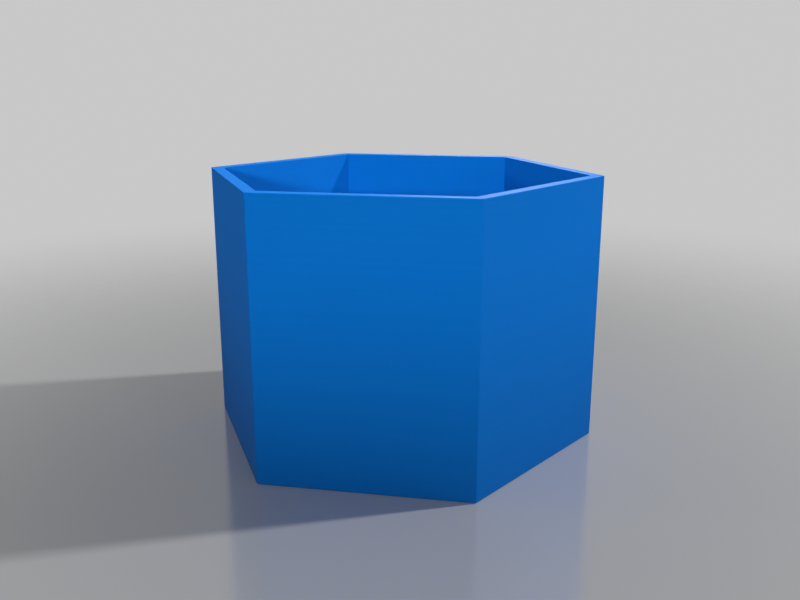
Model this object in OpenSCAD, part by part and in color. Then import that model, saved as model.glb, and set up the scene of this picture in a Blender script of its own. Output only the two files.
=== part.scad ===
// Hexagonal rock tumbler barrel with a plain rim, and the expanding push-in lid that closes it.
// The lid is shown loose, lying level on the floor of the empty barrel, as it is put away.
// Origin: centre of the barrel's underside. +Z is the barrel's axis, +X is square to a flat wall.

/* [Barrel] */
// Distance from the axis to an outer corner of the hexagon
corner_radius = 30; // [28:0.5:60]
// Height of the barrel
barrel_height = 40; // [36:1:120]
// Wall thickness along the radius at a corner
corner_wall = 2; // [1.5:0.1:3]
// Thickness of the floor
floor_thickness = 2; // [1.5:0.1:4]

/* [Lid] */
// Gap between the lid's plates and each wall
plate_gap = 0.4; // [0.3:0.05:0.6]
// Gap between the relaxed seal ring and each wall
seal_gap = 0.5; // [0.4:0.05:0.8]
// Thickness of the inner lid's plate
inner_plate = 4; // [3.8:0.1:6]
// Thickness of the outer lid
outer_plate = 3; // [2.5:0.1:4]
// Height of the relaxed seal ring
seal_height = 4; // [3.8:0.1:5]
// Width of the seal ring, square to a wall
seal_width = 4.5; // [3:0.5:6]
// How far the nut can draw the two plates together
squeeze = 1.2; // [0.6:0.1:1.4]

/* [Fasteners] */
// Outer diameter of the stud's thread
thread_diameter = 4.9; // [4.86:0.01:4.98]
// Length of the stud under its head
stud_length = 16; // [15:0.5:20]
// Width of the stud's head across its flats
head_width = 8; // [7.8:0.05:8]
// Height of the stud's head
head_height = 3.5; // [3.3:0.05:3.6]
// Outer diameter of the washer
washer_diameter = 15; // [12:0.5:20]
// Thickness of the washer
washer_thickness = 1.2; // [1:0.1:1.6]
// Diameter over the nut's knurls
nut_diameter = 20; // [14:0.5:24]
// Height of the nut's knurled head
nut_head = 5; // [4:0.5:6]
// Diameter of the collar under the nut's head
collar_diameter = 10; // [8:0.5:12]
// Height of that collar
collar_height = 2; // [1:0.5:3]

/* [Hidden] */

$fn = 96;
EPS = 0.01;                 // how far a cut runs past the face that it opens
printed = "#0A66BA";        // the printed plastic
rubber = "#1C1C1E";
steel = "#B4B8BC";

// Clearances
rest_gap = 0.3;             // between the stored lid and the floor
hub_gap = 0.15;             // between the seal ring and the hub inside it
hub_short = 0.4;            // between the hub and the outer lid when the seal is squeezed
pocket_gap = 0.1;           // around and below the stud's head
nut_gap = 0.05;             // between the turning nut and the washer
thread_gap = 0.05;          // between the stud and the nut's thread, along the radius

// Holes for the stud
stud_radius = thread_diameter / 2;
inner_bore_radius = stud_radius + 0.15;
washer_bore_radius = stud_radius + 0.2;
outer_bore_radius = stud_radius + 0.3;

// The O-ring, as it lies squeezed in its recess
o_ring_height = 1.1;
o_ring_inner_radius = stud_radius + 0.02;
o_ring_outer_radius = stud_radius + 1.5;
recess_radius = o_ring_outer_radius + 0.05;

// Edge breaks on the turned parts
stud_chamfer = 0.5;
nut_chamfer = 0.6;

// Half widths across the flats: a hexagon's flats are cos(30) of its corner radius away
bore_corner_radius = corner_radius - corner_wall;
bore_flat = bore_corner_radius * cos(30);
plate_flat = bore_flat - plate_gap;
seal_flat = bore_flat - seal_gap;
hub_flat = seal_flat - seal_width - hub_gap;

// Heights, from the barrel's underside
lid_z = floor_thickness + rest_gap;
seal_z = lid_z + inner_plate;
hub_top_z = seal_z + seal_height - squeeze - hub_short;
outer_z = seal_z + seal_height;
washer_z = outer_z + outer_plate;
nut_z = washer_z + washer_thickness + nut_gap;
head_z = lid_z + pocket_gap;
pocket_top_z = head_z + head_height;
stud_top_z = pocket_top_z + stud_length;

// A hexagonal prism with two of its corners on the Y axis, given by its half width across flats
module hexagon(flat, z, height) {
    translate([0, 0, z])
        rotate([0, 0, 30])
            cylinder(r = flat / cos(30), h = height, $fn = 6);
}

// A round bar or, as a cut, a hole on the axis
module round_bar(radius, z, height) {
    translate([0, 0, z]) cylinder(r = radius, h = height);
}

module barrel_body() {
    color(printed)
    difference() {
        hexagon(corner_radius * cos(30), 0, barrel_height);
        hexagon(bore_flat, floor_thickness, barrel_height);
    }
}

module inner_lid() {
    color(printed)
    difference() {
        union() {
            hexagon(plate_flat, lid_z, inner_plate);
            hexagon(hub_flat, lid_z, hub_top_z - lid_z);
        }
        hexagon(head_width / 2 + pocket_gap, lid_z - EPS, pocket_top_z - lid_z + EPS);
        round_bar(recess_radius, pocket_top_z - EPS, o_ring_height + EPS);
        round_bar(inner_bore_radius, lid_z, hub_top_z - lid_z + EPS);
    }
}

module seal_ring() {
    color(rubber)
    difference() {
        hexagon(seal_flat, seal_z, seal_height);
        hexagon(seal_flat - seal_width, seal_z - EPS, seal_height + 2 * EPS);
    }
}

module outer_lid() {
    color(printed)
    difference() {
        hexagon(plate_flat, outer_z, outer_plate);
        round_bar(outer_bore_radius, outer_z - EPS, outer_plate + 2 * EPS);
    }
}

module lid_stud() {
    color(steel) {
        hexagon(head_width / 2, head_z, head_height);
        round_bar(stud_radius, pocket_top_z - EPS, stud_length - stud_chamfer + EPS);
        translate([0, 0, stud_top_z - stud_chamfer])
            cylinder(r1 = stud_radius, r2 = stud_radius - stud_chamfer, h = stud_chamfer);
    }
}

module stud_o_ring() {
    cord_radius = o_ring_height / 2;
    color(rubber)
    translate([0, 0, pocket_top_z + cord_radius])
        rotate_extrude() {
            translate([o_ring_inner_radius + cord_radius, 0]) circle(r = cord_radius, $fn = 32);
            translate([o_ring_outer_radius - cord_radius, 0]) circle(r = cord_radius, $fn = 32);
            translate([o_ring_inner_radius + cord_radius, -cord_radius])
                square([o_ring_outer_radius - o_ring_inner_radius - o_ring_height, o_ring_height]);
        }
}

module flat_washer() {
    color(steel)
    difference() {
        round_bar(washer_diameter / 2, washer_z, washer_thickness);
        round_bar(washer_bore_radius, washer_z - EPS, washer_thickness + 2 * EPS);
    }
}

module knurled_nut() {
    bore = stud_radius + thread_gap;
    collar = collar_diameter / 2;
    outer = nut_diameter / 2;
    top = collar_height + nut_head;
    color(steel)
    translate([0, 0, nut_z])
        rotate_extrude()
            polygon([
                [bore, 0],
                [collar, 0],
                [collar, collar_height],
                [outer - nut_chamfer, collar_height],
                [outer, collar_height + nut_chamfer],
                [outer, top - nut_chamfer],
                [outer - nut_chamfer, top],
                [bore, top]
            ]);
}

barrel_body();
inner_lid();
seal_ring();
outer_lid();
lid_stud();
stud_o_ring();
flat_washer();
knurled_nut();
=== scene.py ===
import math

import bpy
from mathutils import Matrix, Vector


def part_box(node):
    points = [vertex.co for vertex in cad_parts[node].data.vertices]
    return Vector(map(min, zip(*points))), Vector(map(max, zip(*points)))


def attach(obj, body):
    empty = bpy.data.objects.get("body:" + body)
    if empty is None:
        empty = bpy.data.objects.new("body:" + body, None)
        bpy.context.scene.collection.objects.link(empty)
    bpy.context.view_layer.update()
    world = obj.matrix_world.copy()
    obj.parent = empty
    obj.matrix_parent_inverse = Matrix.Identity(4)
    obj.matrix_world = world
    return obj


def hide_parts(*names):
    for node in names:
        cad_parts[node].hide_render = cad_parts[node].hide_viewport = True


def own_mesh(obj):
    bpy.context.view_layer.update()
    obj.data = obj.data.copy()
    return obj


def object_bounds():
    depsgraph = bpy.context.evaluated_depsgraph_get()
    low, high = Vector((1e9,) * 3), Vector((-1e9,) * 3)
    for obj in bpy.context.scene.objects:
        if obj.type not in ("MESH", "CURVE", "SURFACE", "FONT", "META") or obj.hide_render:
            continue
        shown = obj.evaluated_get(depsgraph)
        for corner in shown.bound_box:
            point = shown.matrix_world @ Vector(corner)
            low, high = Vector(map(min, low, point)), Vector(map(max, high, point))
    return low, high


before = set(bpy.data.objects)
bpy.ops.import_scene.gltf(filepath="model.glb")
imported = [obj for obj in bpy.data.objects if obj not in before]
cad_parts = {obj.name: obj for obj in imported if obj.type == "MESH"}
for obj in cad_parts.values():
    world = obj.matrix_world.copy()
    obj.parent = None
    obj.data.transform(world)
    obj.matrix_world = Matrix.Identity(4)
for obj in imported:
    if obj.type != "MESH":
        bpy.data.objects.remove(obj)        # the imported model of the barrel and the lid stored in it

# Everything is in metres, in the CAD frame: +Z is the barrel's axis, +X is square to a flat wall.
CAD_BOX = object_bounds()
MM = 0.001

# Sizes that a node's box doesn't hold
CORNER_WALL = 2 * MM            # the barrel's wall along a corner's radius
FLOOR_THICKNESS = 2 * MM
PLATE_THICKNESS = 4 * MM        # the inner lid's plate, below its hub
SEAL_WIDTH = 4.5 * MM
HUB_GAP = 0.15 * MM             # between the hub and the seal
HEAD_WIDTH = 8 * MM             # the bolt's head, across flats
HEAD_HEIGHT = 3.5 * MM
POCKET_GAP = 0.1 * MM           # between the head and its pocket
STUD_RADIUS = 2.45 * MM
INNER_BORE = STUD_RADIUS + 0.15 * MM
WASHER_BORE = STUD_RADIUS + 0.2 * MM
OUTER_BORE = STUD_RADIUS + 0.3 * MM
RECESS_RADIUS = STUD_RADIUS + 1.55 * MM     # the O-ring's seat
COLLAR_RADIUS = 5 * MM          # the nut's collar, below its knurled head
COLLAR_HEIGHT = 2 * MM

# Shown surfaces this far apart look as if they touch, and never cross
HAIR_GAP = 0.02 * MM

# Rounding that an edge has
PRINT_CORNER = 0.25 * MM        # a print's upright corners
PRINT_EDGE = 0.15 * MM          # a print's level edges
LID_EDGE = 2 * PRINT_EDGE       # the lid's lowest and highest edges
RIM_EDGE = 0.08 * MM            # the barrel's rim, the last layer
LEAST_CORNER = 0.02 * MM        # the sharpest that a hexagon's corner can be
SEAL_CORNER = 0.9 * MM          # the seal's outside corners
SEAL_HOLE_CORNER = 0.4 * MM
SEAL_EDGE = 0.45 * MM

# The thread on the stud and in the nut
THREAD_PITCH = 0.8 * MM
THREAD_DEPTH = 0.5413 * THREAD_PITCH
THREAD_GAP = 0.05 * MM          # between the stud's thread and the nut's
CREST_END = 1 / 16              # in pitches from the middle of a crest, where its slope starts
ROOT_START = 3 / 8              # in pitches from the middle of a crest, where its slope ends

# How the printer laid the plastic down
LAYER = 0.2 * MM                # a layer's height
RASTER = 0.42 * MM              # the width of a line on a level face

# Hexagons and circles: a ring is six corner arcs with six straight stretches between them
SIDES = 6
CORNER_STEP = 360 / SIDES       # degrees from one corner to the next
FIRST_CORNER = CORNER_STEP / 2  # degrees from +X
FLAT_TO_CORNER = math.cos(math.radians(CORNER_STEP / 2))    # a flat's radius over a corner's
ARC_STEPS = 4
FLAT_STEPS = 12
RING = SIDES * (ARC_STEPS + FLAT_STEPS)
FILLET_STEPS = 3


# ---------------------------------------------------------------- meshes

def polar(radius, degrees):
    angle = math.radians(degrees)
    return Vector((radius * math.cos(angle), radius * math.sin(angle)))


def hexagon_ring(flat, rounding):
    """A hexagon's points, from its half width across flats, with its corners rounded."""
    reach = (flat - rounding) / FLAT_TO_CORNER
    turns = [CORNER_STEP * (step / ARC_STEPS - 0.5) for step in range(ARC_STEPS + 1)]
    arcs = []
    for side in range(SIDES):
        corner = FIRST_CORNER + CORNER_STEP * side
        arcs.append([polar(reach, corner) + polar(rounding, corner + turn) for turn in turns])
    points = []
    for arc, following in zip(arcs, arcs[1:] + arcs[:1]):
        points += arc
        points += [arc[-1].lerp(following[0], step / FLAT_STEPS) for step in range(1, FLAT_STEPS)]
    return points


def hexagonal(core):
    """Rings for hexagons that are all offsets of one sharp hexagon, whose half width is core."""
    return lambda flat, z: hexagon_ring(flat, max(flat - core, LEAST_CORNER))


def ring_angles(count):
    """The angles of a circle's points, in degrees, in step with the points of a hexagon."""
    return [FIRST_CORNER + (i - ARC_STEPS / 2) * 360 / count for i in range(count)]


def circular(count=RING):
    """Rings for circles."""
    return lambda radius, z: [polar(radius, degrees) for degrees in ring_angles(count)]


def filleted(outline, closed=False):
    """An outline of (ring kind, radius, z, fillet) with each corner that has a fillet made an arc."""
    stations = []
    for i, (kind, radius, z, fillet) in enumerate(outline):
        open_end = not closed and i in (0, len(outline) - 1)
        if fillet <= 0 or open_end:
            stations.append((kind, radius, z))
            continue
        here = Vector((radius, z))
        before = Vector(outline[i - 1][1:3]) - here
        after = Vector(outline[(i + 1) % len(outline)][1:3]) - here
        half = before.angle(after) / 2
        start = here + before.normalized() * fillet / math.tan(half)
        end = here + after.normalized() * fillet / math.tan(half)
        middle = (before.normalized() + after.normalized()).normalized()
        centre = here + middle * fillet / math.sin(half)
        sweep = math.pi - 2 * half
        for step in range(FILLET_STEPS + 1):
            share = step / FILLET_STEPS
            from_start = math.sin((1 - share) * sweep)
            from_end = math.sin(share * sweep)
            arm = (start - centre) * from_start + (end - centre) * from_end
            point = centre + arm / math.sin(sweep)
            stations.append((kind, point.x, point.y))
    return stations


def loft(name, stations, closed=False):
    """A solid through one ring per station; closed joins the last ring to the first."""
    rings = [[(p.x, p.y, z) for p in kind(radius, z)] for kind, radius, z in stations]
    count = len(rings[0])
    vertices = [point for ring in rings for point in ring]
    faces = []
    for i in range(len(rings) if closed else len(rings) - 1):
        low = i * count
        high = (i + 1) % len(rings) * count
        for j in range(count):
            k = (j + 1) % count
            faces.append((low + j, low + k, high + k, high + j))
    if not closed:
        faces.append(tuple(reversed(range(count))))
        faces.append(tuple(range(len(vertices) - count, len(vertices))))
    mesh = bpy.data.meshes.new(name)
    mesh.from_pydata(vertices, [], faces)
    return mesh


def piece(name, mesh, material, node, body, sharp_degrees=40):
    """Makes the shown piece that stands for one CAD node."""
    mesh.validate()
    mesh.shade_smooth()
    mesh.set_sharp_from_angle(angle=math.radians(sharp_degrees))
    mesh.materials.append(material)
    made = bpy.data.objects.new(name, mesh)
    bpy.context.scene.collection.objects.link(made)
    normals = made.modifiers.new("face_weighted_normals", "WEIGHTED_NORMAL")
    normals.keep_sharp = True
    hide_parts(node)
    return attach(made, body)


# ---------------------------------------------------------------- materials

class Tree:
    """A short way to write a node tree."""

    def __init__(self, tree):
        self.tree = tree

    def add(self, kind, inputs=None, **settings):
        """Adds a node, with what its sockets take and with its own settings."""
        node = self.tree.nodes.new(kind)
        for key, value in settings.items():
            setattr(node, key, value)
        for key, value in (inputs or {}).items():
            self.feed(node.inputs[key], value)
        return node

    def feed(self, socket, value):
        """Links a node's output to the socket, or sets the socket to a plain value."""
        if isinstance(value, bpy.types.NodeSocket):
            self.tree.links.new(value, socket)
        else:
            socket.default_value = value

    def position(self):
        return self.add("ShaderNodeTexCoord").outputs["Object"]

    def axes(self, vector):
        return self.add("ShaderNodeSeparateXYZ", {0: vector}).outputs

    def length(self, vector):
        return self.add("ShaderNodeVectorMath", {0: vector}, operation="LENGTH").outputs["Value"]

    def math(self, operation, first, second=0.0):
        return self.add("ShaderNodeMath", {0: first, 1: second}, operation=operation).outputs[0]

    def noise(self, position, size, detail):
        """Noise whose blotches are about size across."""
        made = self.add("ShaderNodeTexNoise", {"Vector": position, "Scale": 1 / size, "Detail": detail})
        return made.outputs["Fac"]

    def mix(self, share, first, second):
        """The first value, with a share of it, from 0 to 1, given over to the second."""
        return self.add("ShaderNodeMix", {"Factor": share, "A": first, "B": second}).outputs[0]

    def between(self, value, low, high):
        """The value, from 0 to 1, carried to the range low to high."""
        return self.add("ShaderNodeMapRange", {"Value": value, "To Min": low, "To Max": high}).outputs[0]


class Surface(Tree):
    """A material's node tree, with its shader."""

    def __init__(self, name):
        self.material = bpy.data.materials.new(name)
        self.material.use_nodes = True
        super().__init__(self.material.node_tree)
        self.shader = self.tree.nodes["Principled BSDF"]

    def tint(self, value, dark, light):
        """A colour from dark, where the value is 0, to light, where it is 1."""
        # a mix node's sockets 6 and 7 take its colours, and 2 gives the mixed one
        inputs = {"Factor": value, 6: (*dark, 1), 7: (*light, 1)}
        return self.add("ShaderNodeMix", inputs, data_type="RGBA").outputs[2]

    def bump(self, height, depth, after=None):
        """Height from 0 to 1, raised by depth metres, on top of another bump if one is given."""
        inputs = {"Height": height, "Strength": 1.0, "Distance": depth}
        if after is not None:
            inputs["Normal"] = after
        return self.add("ShaderNodeBump", inputs).outputs[0]

    def set(self, **values):
        """Sets the shader's sockets, whose names are written with _ for a space."""
        for key, value in values.items():
            self.feed(self.shader.inputs[key.replace("_", " ")], value)


def printed_plastic():
    """Blue filament: fine layers up the walls, laid lines on level faces and a faint mottle."""
    deep_blue = (0.0022, 0.146, 0.545)
    light_blue = (0.0028, 0.160, 0.590)
    level_from = 0.7                # a face counts as level if its normal is more upright than this
    layer_ridge = 0.0015 * MM
    raster_ridge = 2.5              # a laid line's ridge, in layer ridges
    grain_height = 0.006 * MM

    nodes = Surface("printed_plastic")
    position = nodes.position()
    x, y, z = nodes.axes(position)
    facing = nodes.add("ShaderNodeNewGeometry").outputs["True Normal"]
    upright = nodes.math("ABSOLUTE", nodes.axes(facing)[2])
    level = nodes.math("GREATER_THAN", upright, level_from)

    up_walls = nodes.math("DIVIDE", z, LAYER)
    across_faces = nodes.math("DIVIDE", nodes.math("ADD", x, y), RASTER * math.sqrt(2))
    row = nodes.mix(level, up_walls, across_faces)
    row_number = {"W": nodes.math("FLOOR", row)}
    each_row = nodes.add("ShaderNodeTexWhiteNoise", row_number, noise_dimensions="1D").outputs["Value"]
    wave = nodes.math("SINE", nodes.math("MULTIPLY", row, 2 * math.pi))
    ridges = nodes.math("MULTIPLY", wave, nodes.between(level, 1.0, raster_ridge))

    mottle = nodes.noise(position, size=9 * MM, detail=3.0)
    grain = nodes.noise(position, size=0.35 * MM, detail=2.0)
    shade = nodes.mix(share=0.3, first=mottle, second=each_row)
    dullness = nodes.mix(share=0.4, first=grain, second=mottle)
    nodes.set(
        Base_Color=nodes.tint(shade, deep_blue, light_blue),
        Roughness=nodes.between(dullness, 0.42, 0.54),
        Specular_IOR_Level=0.07,
        Normal=nodes.bump(grain, grain_height, after=nodes.bump(ridges, layer_ridge)),
    )
    return nodes.material


def seal_rubber():
    """Black nitrile rubber with a moulded grain and a grey bloom."""
    black = (0.010, 0.010, 0.011)
    bloomed = (0.030, 0.030, 0.032)
    grain_height = 0.02 * MM

    nodes = Surface("seal_rubber")
    position = nodes.position()
    bloom = nodes.noise(position, size=6 * MM, detail=4.0)
    grain = nodes.noise(position, size=0.25 * MM, detail=2.0)
    nodes.set(
        Base_Color=nodes.tint(bloom, black, bloomed),
        Roughness=nodes.between(grain, 0.55, 0.8),
        Specular_IOR_Level=0.4,
        Normal=nodes.bump(grain, grain_height),
    )
    return nodes.material


def tool_marks(nodes, position, spacing):
    """Fine rings round the Z axis, on level faces and upright sides alike."""
    x, y, z = nodes.axes(position)
    level_position = nodes.add("ShaderNodeCombineXYZ", {"X": x, "Y": y}).outputs[0]
    along = nodes.math("ADD", nodes.length(level_position), z)
    inputs = {"W": along, "Scale": 1 / spacing, "Detail": 2.0}
    return nodes.add("ShaderNodeTexNoise", inputs, noise_dimensions="1D").outputs["Fac"]


def stainless_steel(name, turned):
    """Stainless steel, with fine tool marks where it was turned, and otherwise finely scratched."""
    dark_steel = (0.50, 0.505, 0.515)
    light_steel = (0.62, 0.625, 0.63)
    mark_spacing = 0.08 * MM
    relief_height = 0.004 * MM

    nodes = Surface(name)
    position = nodes.position()
    smudge = nodes.noise(position, size=3 * MM, detail=4.0)
    scratch = nodes.noise(position, size=0.3 * MM, detail=4.0)
    dullness = nodes.mix(share=0.5, first=smudge, second=scratch)
    relief = tool_marks(nodes, position, mark_spacing) if turned else scratch
    nodes.set(
        Base_Color=nodes.tint(smudge, dark_steel, light_steel),
        Metallic=1.0,
        Roughness=nodes.between(dullness, 0.2, 0.42),
        Normal=nodes.bump(relief, relief_height),
    )
    return nodes.material


# ---------------------------------------------------------------- the barrel

def barrel(material):
    low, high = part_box("barrel_body")
    flat = high.x
    bore = (high.y - CORNER_WALL) * FLAT_TO_CORNER
    floor_top = low.z + FLOOR_THICKNESS
    border = 3 * MM                 # of the underside and the floor, round their one large face
    outside = hexagonal(flat - PRINT_CORNER)
    inside = hexagonal(bore - PRINT_CORNER)
    outline = [
        (outside, flat - border, low.z, 0),
        (outside, flat, low.z, PRINT_EDGE),
        (outside, flat, high.z, RIM_EDGE),
        (inside, bore, high.z, RIM_EDGE),
        (inside, bore, floor_top, PRINT_CORNER),
        (inside, bore - border, floor_top, 0),
    ]
    mesh = loft("barrel_shell", filleted(outline))
    piece("barrel_shell", mesh, material, "barrel_body", "barrel")


# ---------------------------------------------------------------- the lid

def inner_lid(material):
    low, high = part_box("inner_lid")
    plate = high.x
    seal_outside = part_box("seal_ring")[1].x
    hub = seal_outside - SEAL_WIDTH - HUB_GAP
    pocket = HEAD_WIDTH / 2 + POCKET_GAP
    pocket_roof = low.z + POCKET_GAP + HEAD_HEIGHT
    recess_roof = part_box("stud_o_ring")[1].z
    plate_top = low.z + PLATE_THICKNESS
    outside = hexagonal(plate - PRINT_CORNER)
    hub_side = hexagonal(hub - PRINT_CORNER)
    pocket_side = hexagonal(pocket - PRINT_EDGE)
    hole = circular()
    outline = [
        (outside, plate, low.z, LID_EDGE),
        (outside, plate, plate_top, PRINT_EDGE),
        (hub_side, hub, plate_top, 0),
        (hub_side, hub, high.z, PRINT_EDGE),
        (hole, INNER_BORE, high.z, PRINT_EDGE),
        (hole, INNER_BORE, recess_roof, 0),
        (hole, RECESS_RADIUS, recess_roof, 0),
        (hole, RECESS_RADIUS, pocket_roof, 0),
        (pocket_side, pocket, pocket_roof, 0),
        (pocket_side, pocket, low.z, PRINT_EDGE),
    ]
    mesh = loft("inner_plate", filleted(outline, closed=True), closed=True)
    piece("inner_plate", mesh, material, "inner_lid", "lid")


def seal_ring(material):
    low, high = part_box("seal_ring")
    outer = high.x
    hole = outer - SEAL_WIDTH
    top = high.z - HAIR_GAP
    outside = hexagonal(outer - SEAL_CORNER)
    inside = hexagonal(hole - SEAL_HOLE_CORNER)
    outline = [
        (outside, outer, low.z, SEAL_EDGE),
        (outside, outer, top, SEAL_EDGE),
        (inside, hole, top, SEAL_EDGE),
        (inside, hole, low.z, SEAL_EDGE),
    ]
    mesh = loft("rubber_ring", filleted(outline, closed=True), closed=True)
    made = piece("rubber_ring", mesh, material, "seal_ring", "lid")
    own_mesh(made)


def outer_lid(material):
    low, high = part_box("outer_lid")
    plate = high.x
    outside = hexagonal(plate - PRINT_CORNER)
    hole = circular()
    outline = [
        (outside, plate, low.z, PRINT_EDGE),
        (outside, plate, high.z, LID_EDGE),
        (hole, OUTER_BORE, high.z, PRINT_EDGE),
        (hole, OUTER_BORE, low.z, PRINT_EDGE),
    ]
    mesh = loft("outer_plate", filleted(outline, closed=True), closed=True)
    piece("outer_plate", mesh, material, "outer_lid", "clamp")


def thread_radius(crest, turns, z):
    """The radius of an ISO thread whose helix rises along +Z, at an angle in turns and a height."""
    phase = (z / THREAD_PITCH - turns) % 1.0
    from_crest = min(phase, 1.0 - phase)
    slope = (from_crest - CREST_END) / (ROOT_START - CREST_END)
    return crest - THREAD_DEPTH * min(max(slope, 0.0), 1.0)


def threaded(count, limited):
    """Rings for a threaded bar or bore; limited(radius, z) cuts the thread off at a chamfer."""
    def ring(radius, z):
        points = []
        for degrees in ring_angles(count):
            points.append(polar(limited(thread_radius(radius, degrees / 360, z), z), degrees))
        return points
    return ring


def lid_stud(material):
    low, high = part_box("lid_stud")
    flat = HEAD_WIDTH / 2
    bearing = low.z + HEAD_HEIGHT           # the head's face round the stud
    flat_face = 0.95 * flat                 # the radius of the flat that the chamfer leaves
    chamfer_slope = math.tan(math.radians(60))      # how fast the head widens from there
    chamfer_zone = 0.75 * MM                # more than the chamfer's height
    chamfer_steps = 6
    head_corner = 0.12 * MM
    tip_start = high.z - 0.5 * MM           # where the stud's tip starts to narrow
    thread_start = bearing + 0.6 * MM
    steps_a_turn = 10
    hexagon = hexagonal(flat - head_corner)

    def chamfered_head(radius, z):
        from_face = max(min(z - low.z, bearing - z), 0.0)
        limit = flat_face + from_face * chamfer_slope
        return [p if p.length <= limit else p * (limit / p.length) for p in hexagon(radius, z)]

    def narrowed(radius, z):
        return min(radius, STUD_RADIUS - max(z - tip_start, 0.0))

    steps = [chamfer_zone * i / chamfer_steps for i in range(chamfer_steps + 1)]
    stations = [(chamfered_head, flat, low.z + step) for step in steps]
    stations += [(chamfered_head, flat, bearing - step) for step in reversed(steps)]
    stations += [(circular(), STUD_RADIUS, bearing)]
    bar = threaded(RING, narrowed)
    length = high.z - thread_start
    count = round(length / THREAD_PITCH * steps_a_turn)
    stations += [(bar, STUD_RADIUS, thread_start + length * i / count) for i in range(count + 1)]
    mesh = loft("lid_bolt", stations)
    piece("lid_bolt", mesh, material, "lid_stud", "lid", sharp_degrees=35)


def stud_o_ring(material):
    low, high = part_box("stud_o_ring")
    inner = STUD_RADIUS + HAIR_GAP
    full_round = (high.z - low.z) / 2
    edge = 0.98 * full_round                # so that one corner's arc stops short of the next
    hole = circular()
    outline = [
        (hole, high.x, low.z, edge),
        (hole, high.x, high.z, edge),
        (hole, inner, high.z, edge),
        (hole, inner, low.z, edge),
    ]
    mesh = loft("bolt_o_ring", filleted(outline, closed=True), closed=True)
    piece("bolt_o_ring", mesh, material, "stud_o_ring", "lid")


def flat_washer(material):
    low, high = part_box("flat_washer")
    under_edge = 0.08 * MM
    rolled_edge = 0.3 * MM
    hole_edge = 0.2 * MM
    hole = circular()
    outline = [
        (hole, high.x, low.z, under_edge),
        (hole, high.x, high.z, rolled_edge),
        (hole, WASHER_BORE, high.z, hole_edge),
        (hole, WASHER_BORE, low.z, under_edge),
    ]
    mesh = loft("steel_washer", filleted(outline, closed=True), closed=True)
    piece("steel_washer", mesh, material, "flat_washer", "clamp")


def knurled_nut(material):
    low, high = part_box("knurled_nut")
    height = high.z - low.z
    outer = high.x
    head_low = low.z + COLLAR_HEIGHT
    chamfer = 0.6 * MM              # of the knurled head's two edges
    chamfer_steps = 4
    collar_edge = 0.2 * MM
    dish_outside = COLLAR_RADIUS + 1.5 * MM
    dish_inside = COLLAR_RADIUS - 1.7 * MM
    dish_depth = 0.3 * MM           # and its sides are at 45 degrees
    sink_depth = 0.35 * MM          # of the countersink at each end of the thread
    knurl_depth = 0.34 * MM
    knurl_shape = [0.0, 0.5, 1.0, 0.5]      # one knurl's points, in knurl depths below its tip
    knurls_around = 60
    count = knurls_around * len(knurl_shape)
    steps_a_turn = 8

    def knurls(radius, z):
        limit = outer - chamfer + min(z - head_low, high.z - z)
        points = []
        for i, degrees in enumerate(ring_angles(count)):
            tooth = radius - knurl_depth * knurl_shape[i % len(knurl_shape)]
            points.append(polar(min(tooth, limit), degrees))
        return points

    def countersunk(radius, z):
        from_end = min(z - low.z, high.z - z)
        cone = STUD_RADIUS + THREAD_GAP + sink_depth - from_end
        return max(radius + THREAD_GAP, cone)

    plain = circular(count)
    thread = threaded(count, countersunk)
    rises = [chamfer * i / chamfer_steps for i in range(1, chamfer_steps + 1)]
    stations = [
        (plain, COLLAR_RADIUS - collar_edge, low.z),
        (plain, COLLAR_RADIUS, low.z + collar_edge),
        (plain, COLLAR_RADIUS, head_low),
        (plain, outer - chamfer, head_low),
    ]
    stations += [(knurls, outer, head_low + rise) for rise in rises]
    stations += [(knurls, outer, high.z - rise) for rise in reversed(rises)]
    stations += [
        (plain, outer - chamfer, high.z),
        (plain, dish_outside, high.z),
        (plain, dish_outside - dish_depth, high.z - dish_depth),
        (plain, dish_inside + dish_depth, high.z - dish_depth),
        (plain, dish_inside, high.z),
    ]
    steps = round(height / THREAD_PITCH * steps_a_turn)
    stations += [(thread, STUD_RADIUS, high.z - height * i / steps) for i in range(steps + 1)]
    mesh = loft("thumb_nut", stations, closed=True)
    piece("thumb_nut", mesh, material, "knurled_nut", "nut", sharp_degrees=35)


# ---------------------------------------------------------------- floor, light and camera

WHITE = (1, 1, 1, 1)

# What a light reaches: how it reads its list of receivers, which holds only the floor
EVERYTHING = None
ONLY_THE_FLOOR = "INCLUDE"
ALL_BUT_THE_FLOOR = "EXCLUDE"


def floor():
    """A pale, slightly glossy floor that fades into the backdrop."""
    radius = 0.5
    edges = 64
    fade_start = 0.03               # from the barrel's axis
    fade_end = 0.21

    nodes = Surface("pale_floor")
    distance = nodes.length(nodes.position())
    reach = {"Value": distance, "From Min": fade_start, "From Max": fade_end, "To Min": 1.0, "To Max": 0.0}
    solid = nodes.add("ShaderNodeMapRange", reach, interpolation_type="SMOOTHSTEP").outputs[0]
    nodes.set(Base_Color=(0.64, 0.64, 0.644, 1), Roughness=0.13, IOR=2.1, Alpha=solid)

    ring = [(*polar(radius, 360 * i / edges), 0) for i in range(edges)]
    mesh = bpy.data.meshes.new("pale_floor")
    mesh.from_pydata(ring, [], [tuple(range(edges))])
    mesh.materials.append(nodes.material)
    made = bpy.data.objects.new("pale_floor", mesh)
    made.location.z = CAD_BOX[0].z - HAIR_GAP
    made.visible_glossy = False     # walls seen at a glancing angle would mirror it and turn grey
    bpy.context.scene.collection.objects.link(made)


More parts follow.
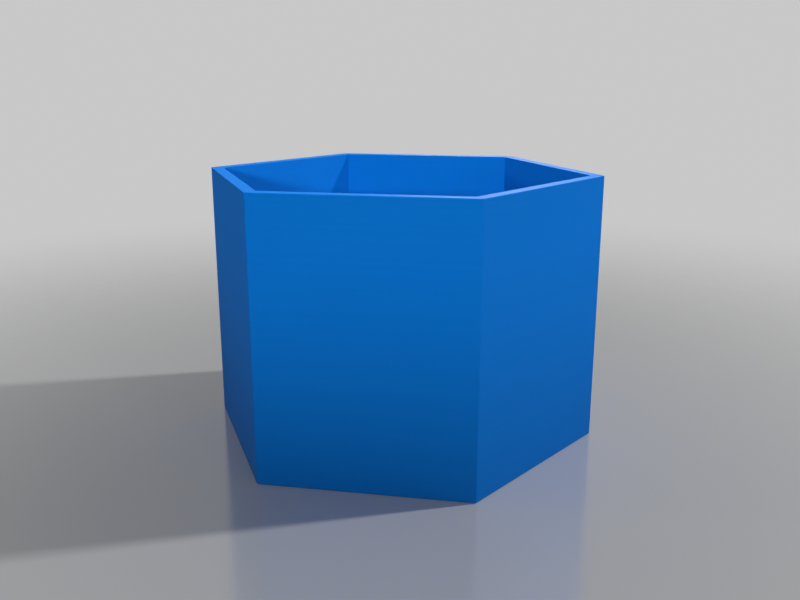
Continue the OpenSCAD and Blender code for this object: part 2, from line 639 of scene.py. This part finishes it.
def backdrop():
    """A plain backdrop of one shade to the eye, which lights and is reflected as a pale dome.

    The dome is dark near the horizon, as in a studio with black flags round the table, so that
    upright walls keep their colour. Below the horizon there is a faint glow, as from the table.
    To reflections, and to light sampled straight from it, the dome is dome_glow strong. To diffuse
    rays that find it on their own it is dome_light strong.
    """
    shade = 0.578
    dome_glow = 0.49
    dome_light = 0.045
    dome_from = math.sin(math.radians(9))
    dome_full = math.sin(math.radians(20))
    table_glow = 0.2                # in the dome's strengths

    world = bpy.data.worlds.new("studio")
    bpy.context.scene.world = world
    world.use_nodes = True
    nodes = Tree(world.node_tree)
    ray = nodes.add("ShaderNodeLightPath").outputs
    direction = nodes.add("ShaderNodeTexCoord").outputs["Generated"]
    upward = nodes.axes(direction)[2]
    dome_inputs = {"Value": upward, "From Min": dome_from, "From Max": dome_full}
    dome = nodes.add("ShaderNodeMapRange", dome_inputs).outputs[0]
    table = nodes.math("MULTIPLY", nodes.math("LESS_THAN", upward, 0.0), table_glow)
    strength = nodes.mix(ray["Is Diffuse Ray"], dome_glow, dome_light)
    glow = nodes.math("MULTIPLY", nodes.math("ADD", dome, table), strength)
    shown = world.node_tree.nodes["Background"]
    nodes.feed(shown.inputs["Color"], WHITE)
    nodes.feed(shown.inputs["Strength"], shade)
    lit = nodes.add("ShaderNodeBackground", {"Color": WHITE, "Strength": glow})
    choice = {0: ray["Is Camera Ray"], 1: lit.outputs[0], 2: shown.outputs[0]}
    mixed = nodes.add("ShaderNodeMixShader", choice).outputs[0]
    nodes.feed(world.node_tree.nodes["World Output"].inputs["Surface"], mixed)


def softbox(name, azimuth, elevation, width, height, power, aim_height, spread, mirrored=False,
            reaches=EVERYTHING, distance=0.6):
    """An area light, azimuth degrees round from +X, that faces the barrel's axis at aim_height.

    Only a mirrored light shows in reflections.
    """
    data = bpy.data.lights.new(name, "AREA")
    data.shape = "RECTANGLE"
    data.size = width
    data.size_y = height
    data.energy = power
    data.spread = math.radians(spread)
    made = bpy.data.objects.new(name, data)
    made.visible_glossy = mirrored
    bpy.context.scene.collection.objects.link(made)
    level = math.cos(math.radians(elevation))
    away = Vector((*polar(level, azimuth), math.sin(math.radians(elevation))))
    made.location = Vector((0, 0, aim_height)) + away * distance
    made.rotation_euler = (-away).to_track_quat("-Z", "Y").to_euler()
    if reaches is not EVERYTHING:
        receivers = bpy.data.collections.new(name + "_receivers")
        receivers.objects.link(bpy.data.objects["pale_floor"])
        receivers.collection_objects[0].light_linking.link_state = reaches
        made.light_linking.receiver_collection = receivers


def lights():
    """A key light from behind the barrel on its right, and lesser lights for the rest of it.

    The floor has a key light of its own, in the same direction but further off, for even light.
    """
    rim = CAD_BOX[1].z
    below_rim = rim - 4 * MM
    softbox("key_light", azimuth=53, elevation=29, width=0.03, height=0.03, power=0.187,
            aim_height=rim, spread=60, mirrored=True, reaches=ALL_BUT_THE_FLOOR)
    softbox("table_light", azimuth=53, elevation=29, width=0.1, height=0.1, power=2.0,
            aim_height=0, spread=60, reaches=ONLY_THE_FLOOR, distance=2)
    softbox("back_light", azimuth=123, elevation=9, width=0.15, height=0.22, power=0.145,
            aim_height=rim, spread=120, mirrored=True, reaches=ALL_BUT_THE_FLOOR)
    softbox("front_light", azimuth=-57, elevation=9, width=0.2, height=0.04, power=0.0256,
            aim_height=below_rim, spread=10)
    softbox("side_light", azimuth=-12, elevation=9, width=0.2, height=0.04, power=0.0043,
            aim_height=below_rim, spread=10)
    softbox("left_light", azimuth=-145, elevation=6, width=0.2, height=0.04, power=0.006,
            aim_height=below_rim, spread=10)
    softbox("rim_light", azimuth=0, elevation=85, width=0.05, height=0.05, power=0.105,
            aim_height=rim, spread=30, reaches=ALL_BUT_THE_FLOOR)


def camera():
    """Looks at the middle of the barrel from its front right, from a little above."""
    azimuth = math.radians(40.67)
    elevation = math.radians(14.95)
    distance = 0.13654
    low, high = CAD_BOX
    level = math.cos(elevation)
    back = Vector((math.sin(azimuth) * level, -math.cos(azimuth) * level, math.sin(elevation)))
    data = bpy.data.cameras.new("camera")
    data.lens = 39.394              # millimetres, as the sensor's width is
    data.sensor_width = 36
    data.clip_start = 0.005
    made = bpy.data.objects.new("camera", data)
    bpy.context.scene.collection.objects.link(made)
    made.location = (low + high) / 2 + back * distance
    made.rotation_euler = (-back).to_track_quat("-Z", "Y").to_euler()
    bpy.context.scene.camera = made


# ---------------------------------------------------------------- the scene

plastic = printed_plastic()
rubber = seal_rubber()
turned_steel = stainless_steel("turned_steel", turned=True)
rolled_steel = stainless_steel("rolled_steel", turned=False)

barrel(plastic)
inner_lid(plastic)
seal_ring(rubber)
outer_lid(plastic)
lid_stud(rolled_steel)
stud_o_ring(rubber)
flat_washer(turned_steel)
knurled_nut(turned_steel)

floor()
backdrop()
lights()
camera()
bpy.context.scene.view_settings.view_transform = "Standard"
